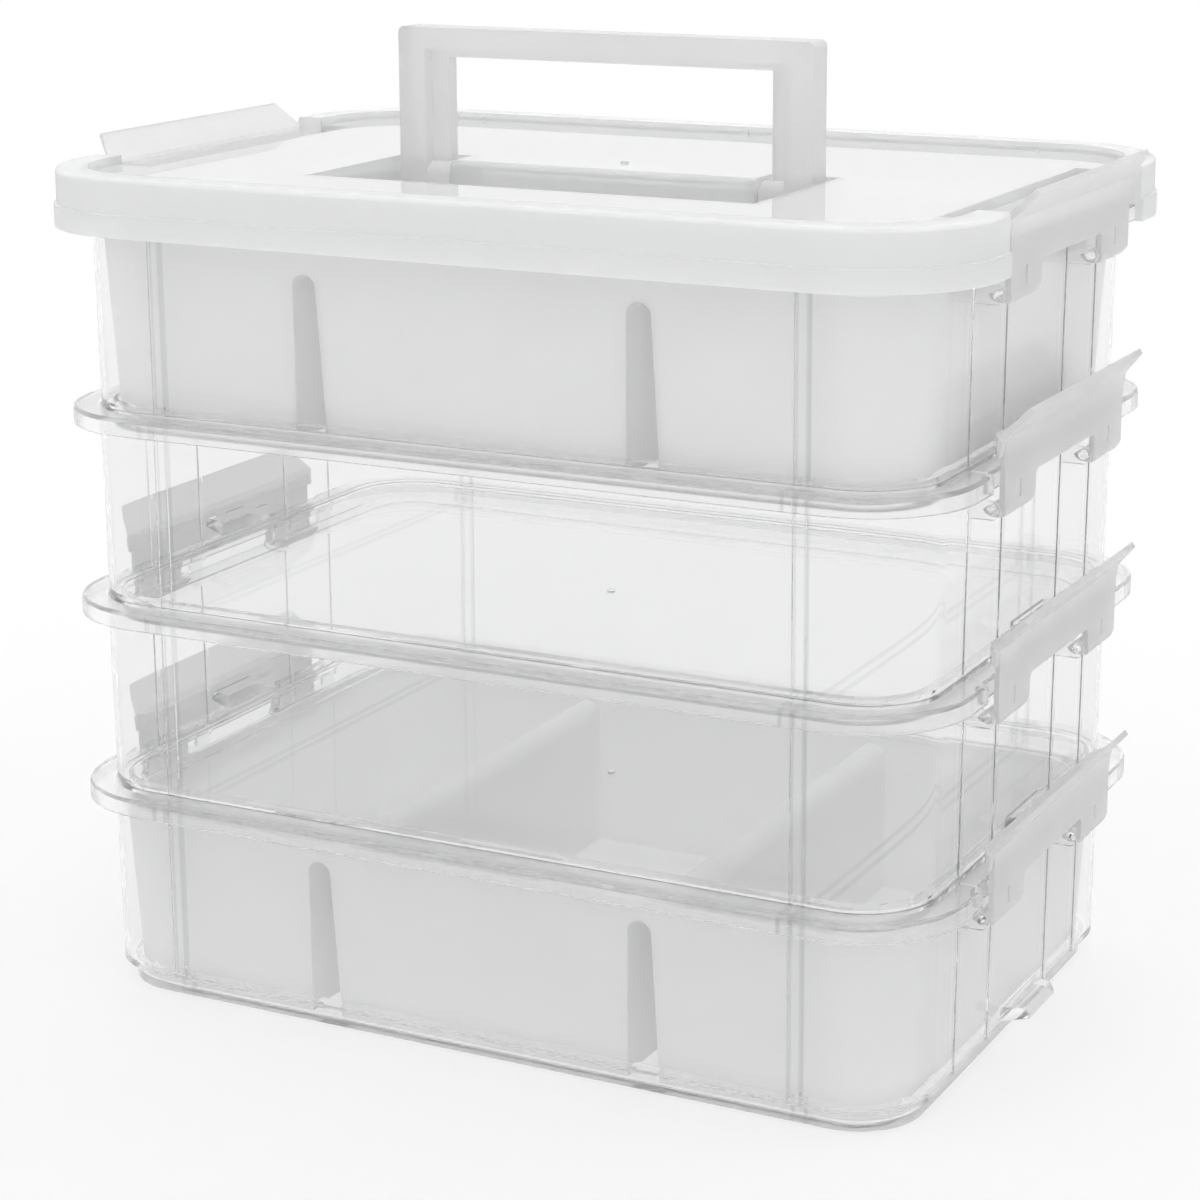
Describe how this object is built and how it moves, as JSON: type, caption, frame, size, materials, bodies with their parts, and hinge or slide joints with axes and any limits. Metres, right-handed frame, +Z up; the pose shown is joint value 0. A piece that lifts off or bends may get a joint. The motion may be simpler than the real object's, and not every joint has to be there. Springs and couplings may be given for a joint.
{
  "type": "craft organizer box",
  "caption": "Stackable clear craft organizer box with latching tubs, divided lift-out trays, and a lid with a folding carry handle.",
  "frame": {"origin": "on the floor, under the middle of the bottom tub", "axes": "+X along the long side to the right, -Y towards the front, +Z up"},
  "size_m": [0.3882, 0.264, 0.373],
  "materials": {
    "clear_tub": "clear moulded polypropylene, smooth",
    "clear_lid": "clear panel with a lightly frosted skirt",
    "milky_tray": "milky white translucent plastic, satin",
    "frosted_latch": "translucent white plastic, satin",
    "white_handle": "white plastic, satin"
  },
  "bodies": {
    "tier_1": {"tier_1": "clear_tub"},
    "tier_2": {"tier_2": "clear_tub"},
    "tier_3": {"tier_3": "clear_tub"},
    "tier_4": {"tier_4": "clear_tub"},
    "bottom_tray": {"bottom_tray": "milky_tray"},
    "top_tray": {"top_tray": "milky_tray"},
    "lid": {"lid": "clear_lid"},
    "handle": {"handle": "white_handle"},
    "latch_left_1": {"latch_left_1": "frosted_latch"},
    "latch_right_1": {"latch_right_1": "frosted_latch"},
    "latch_left_2": {"latch_left_2": "frosted_latch"},
    "latch_right_2": {"latch_right_2": "frosted_latch"},
    "latch_left_3": {"latch_left_3": "frosted_latch"},
    "latch_right_3": {"latch_right_3": "frosted_latch"},
    "latch_left_4": {"latch_left_4": "frosted_latch"},
    "latch_right_4": {"latch_right_4": "frosted_latch"}
  },
  "joints": [
    {"name": "tier_2_lift", "type": "slide", "parent": "tier_1", "child": "tier_2", "axis": [0, 0, 1], "range_m": [0, 0.083]},
    {"name": "tier_3_lift", "type": "slide", "parent": "tier_2", "child": "tier_3", "axis": [0, 0, 1], "range_m": [0, 0.083]},
    {"name": "tier_4_lift", "type": "slide", "parent": "tier_3", "child": "tier_4", "axis": [0, 0, 1], "range_m": [0, 0.083]},
    {"name": "lid_lift", "type": "slide", "parent": "tier_4", "child": "lid", "axis": [0, 0, 1], "range_m": [0, 0.083]},
    {"name": "latch_right_1_swing", "type": "hinge", "parent": "tier_1", "child": "latch_right_1", "pos_m": [0.1815, 0, 0.0695], "axis": [0, 1, 0], "range_deg": [0, 165]},
    {"name": "latch_left_1_swing", "type": "hinge", "parent": "tier_1", "child": "latch_left_1", "pos_m": [-0.1815, 0, 0.0695], "axis": [0, -1, 0], "range_deg": [0, 165]},
    {"name": "latch_right_2_swing", "type": "hinge", "parent": "tier_2", "child": "latch_right_2", "pos_m": [0.1815, 0, 0.1448], "axis": [0, 1, 0], "range_deg": [0, 165]},
    {"name": "latch_left_2_swing", "type": "hinge", "parent": "tier_2", "child": "latch_left_2", "pos_m": [-0.1815, 0, 0.1448], "axis": [0, -1, 0], "range_deg": [0, 165]},
    {"name": "latch_right_3_swing", "type": "hinge", "parent": "tier_3", "child": "latch_right_3", "pos_m": [0.1815, 0, 0.2201], "axis": [0, 1, 0], "range_deg": [0, 165]},
    {"name": "latch_left_3_swing", "type": "hinge", "parent": "tier_3", "child": "latch_left_3", "pos_m": [-0.1815, 0, 0.2201], "axis": [0, -1, 0], "range_deg": [0, 165]},
    {"name": "latch_right_4_swing", "type": "hinge", "parent": "tier_4", "child": "latch_right_4", "pos_m": [0.1815, 0, 0.2954], "axis": [0, 1, 0], "range_deg": [0, 165]},
    {"name": "latch_left_4_swing", "type": "hinge", "parent": "tier_4", "child": "latch_left_4", "pos_m": [-0.1815, 0, 0.2954], "axis": [0, -1, 0], "range_deg": [0, 165]},
    {"name": "bottom_tray_lift", "type": "slide", "parent": "tier_1", "child": "bottom_tray", "axis": [0, 0, 1], "range_m": [0, 0.082]},
    {"name": "top_tray_lift", "type": "slide", "parent": "tier_4", "child": "top_tray", "axis": [0, 0, 1], "range_m": [0, 0.082]},
    {"name": "handle_fold", "type": "hinge", "parent": "lid", "child": "handle", "pos_m": [0, -0.0025, 0.3146], "axis": [1, 0, 0], "range_deg": [0, 90]}
  ],
  "couplings": [
    {"joint": "latch_right_1_swing", "follows": "tier_2_lift", "rad_per_m": 34.696},
    {"joint": "latch_left_1_swing", "follows": "tier_2_lift", "rad_per_m": 34.696},
    {"joint": "latch_right_2_swing", "follows": "tier_3_lift", "rad_per_m": 34.696},
    {"joint": "latch_left_2_swing", "follows": "tier_3_lift", "rad_per_m": 34.696},
    {"joint": "latch_right_3_swing", "follows": "tier_4_lift", "rad_per_m": 34.696},
    {"joint": "latch_left_3_swing", "follows": "tier_4_lift", "rad_per_m": 34.696},
    {"joint": "latch_right_4_swing", "follows": "lid_lift", "rad_per_m": 34.696},
    {"joint": "latch_left_4_swing", "follows": "lid_lift", "rad_per_m": 34.696},
    {"joint": "bottom_tray_lift", "follows": "tier_2_lift", "ratio": 0.98795},
    {"joint": "top_tray_lift", "follows": "lid_lift", "ratio": 0.98795}
  ]
}
